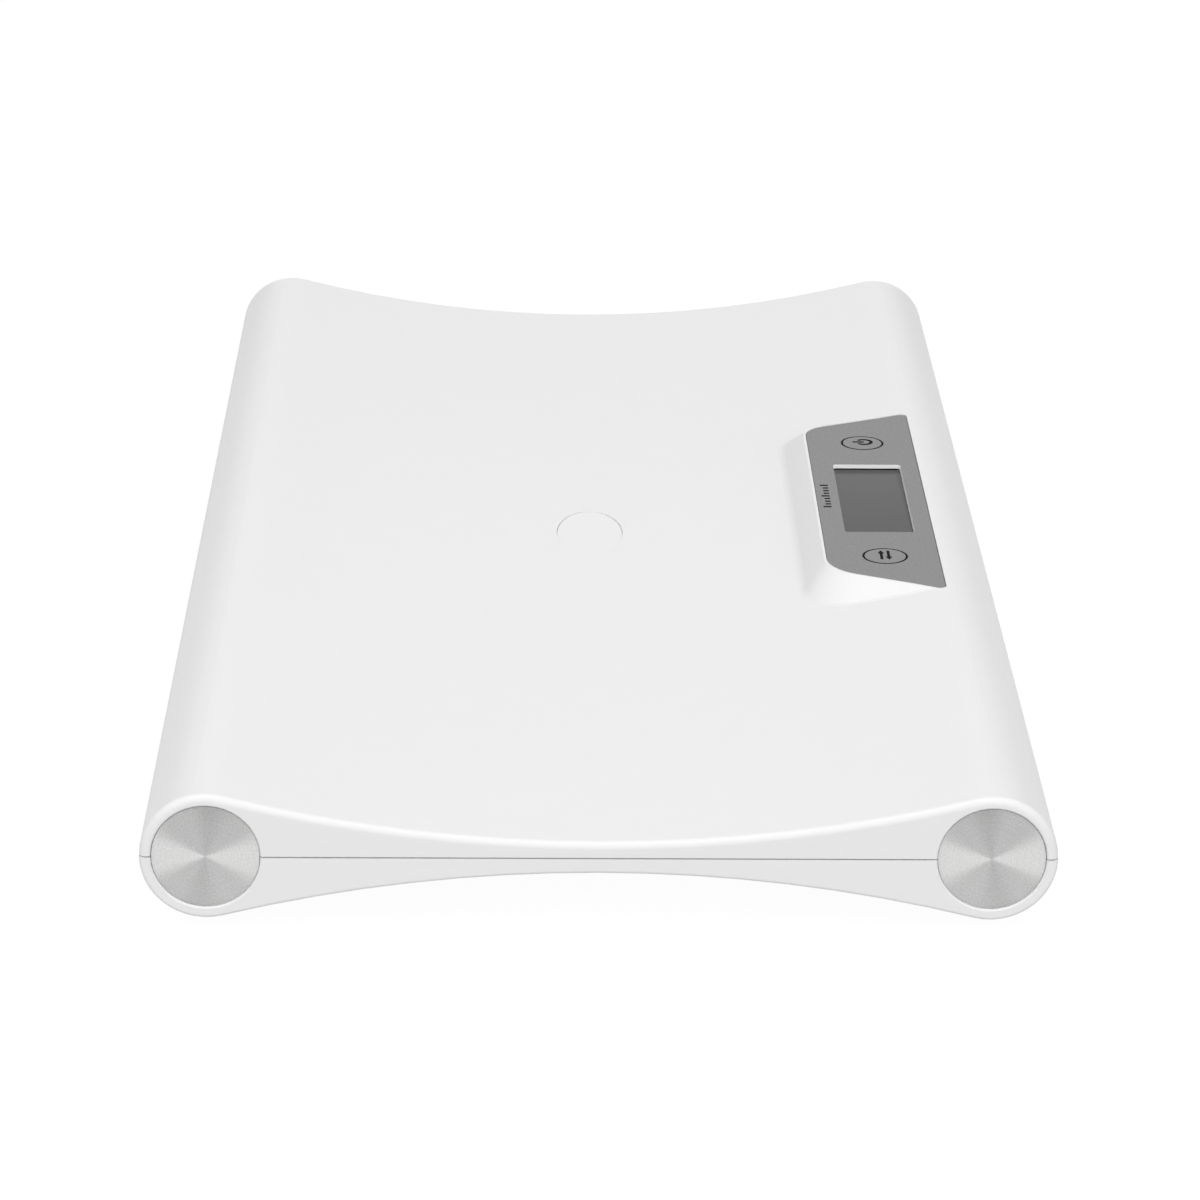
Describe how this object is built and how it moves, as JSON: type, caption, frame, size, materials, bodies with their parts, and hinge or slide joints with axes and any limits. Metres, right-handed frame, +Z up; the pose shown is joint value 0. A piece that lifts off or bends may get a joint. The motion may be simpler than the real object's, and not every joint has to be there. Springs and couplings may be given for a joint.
{
  "type": "digital baby weighing scale",
  "caption": "Low digital baby scale with a concave lying surface between two round rolls, a raised display panel with two press keys, rubber feet and a hinged battery door.",
  "frame": {"origin": "on the floor, under the middle of the scale's outline", "axes": "+X along the length, to the right of the person who reads the display; the display is on the -Y side; +Z up"},
  "size_m": [0.61, 0.31, 0.0494],
  "materials": {
    "shell_plastic": "satin moulded white",
    "adhesive_foam": "thin black foam tape",
    "spun_metal": "spun brushed",
    "badge_plastic": "smooth white",
    "panel_metal": "matt silver grey",
    "display_glass": "dark clear",
    "display_film": "grey-green film",
    "inner_plastic": "natural moulded",
    "conductive_rubber": "soft strip",
    "board_laminate": "green solder mask",
    "chip_plastic": "moulded black",
    "gauge_film": "amber film",
    "plated_spring": "nickel plated",
    "lead_sheath": "soft sheath",
    "zinc_steel": "zinc plated",
    "cell_jacket": "printed jacket, left plain",
    "key_plastic": "silver grey",
    "cell_steel": "stamped, nickel plated",
    "foot_plastic": "moulded white",
    "foot_rubber": "soft grey"
  },
  "bodies": {
    "housing": {"top_shell": "shell_plastic", "bottom_shell": "shell_plastic", "end_cap_front_left": "spun_metal", "end_cap_front_right": "spun_metal", "end_cap_rear_left": "spun_metal", "end_cap_rear_right": "spun_metal", "end_cap_pads": "adhesive_foam", "centre_badge": "badge_plastic", "display_panel": "panel_metal", "panel_adhesive": "adhesive_foam", "lcd_glass": "display_glass", "lcd_polarizer": "display_film", "lcd_holder": "inner_plastic", "zebra_strips": "conductive_rubber", "main_board": "board_laminate", "controller_chip": "chip_plastic", "board_components": "chip_plastic", "board_connectors": "inner_plastic", "power_switch_body": "chip_plastic", "unit_switch_body": "chip_plastic", "load_cell_front_left": "cell_steel", "load_cell_front_right": "cell_steel", "load_cell_rear_left": "cell_steel", "load_cell_rear_right": "cell_steel", "load_cell_bracket_front_left": "inner_plastic", "load_cell_bracket_front_right": "inner_plastic", "load_cell_bracket_rear_left": "inner_plastic", "load_cell_bracket_rear_right": "inner_plastic", "load_cell_lead_front_left": "lead_sheath", "load_cell_lead_front_right": "lead_sheath", "load_cell_lead_rear_left": "lead_sheath", "load_cell_lead_rear_right": "lead_sheath", "strain_gauges": "gauge_film", "battery_cell_1": "cell_jacket", "battery_cell_2": "cell_jacket", "battery_cell_3": "cell_jacket", "battery_contacts": "plated_spring", "battery_leads": "lead_sheath", "battery_door_pin": "zinc_steel", "housing_screws": "zinc_steel", "board_screws": "zinc_steel", "bracket_screws": "zinc_steel", "foot_cup_front_left": "foot_plastic", "foot_pad_front_left": "foot_rubber", "foot_cup_front_right": "foot_plastic", "foot_pad_front_right": "foot_rubber", "foot_cup_rear_left": "foot_plastic", "foot_pad_rear_left": "foot_rubber", "foot_cup_rear_right": "foot_plastic", "foot_pad_rear_right": "foot_rubber"},
    "power_key": {"power_button": "key_plastic", "power_switch_plunger": "chip_plastic"},
    "unit_key": {"unit_button": "key_plastic", "unit_switch_plunger": "chip_plastic"},
    "door": {"battery_door": "shell_plastic", "battery_door_latch": "shell_plastic"}
  },
  "joints": [
    {"name": "power_key_press", "type": "slide", "parent": "housing", "child": "power_key", "axis": [0, 0, -1], "range_m": [0, 0.0005], "stiffness_N_per_m": 3000},
    {"name": "unit_key_press", "type": "slide", "parent": "housing", "child": "unit_key", "axis": [0, 0, -1], "range_m": [0, 0.0005], "stiffness_N_per_m": 3000},
    {"name": "battery_door_hinge", "type": "hinge", "parent": "housing", "child": "door", "pos_m": [0, -0.1245, 0.0081], "axis": [-1, 0, 0], "range_deg": [0, 90], "deforming": ["battery_door_latch"]}
  ]
}
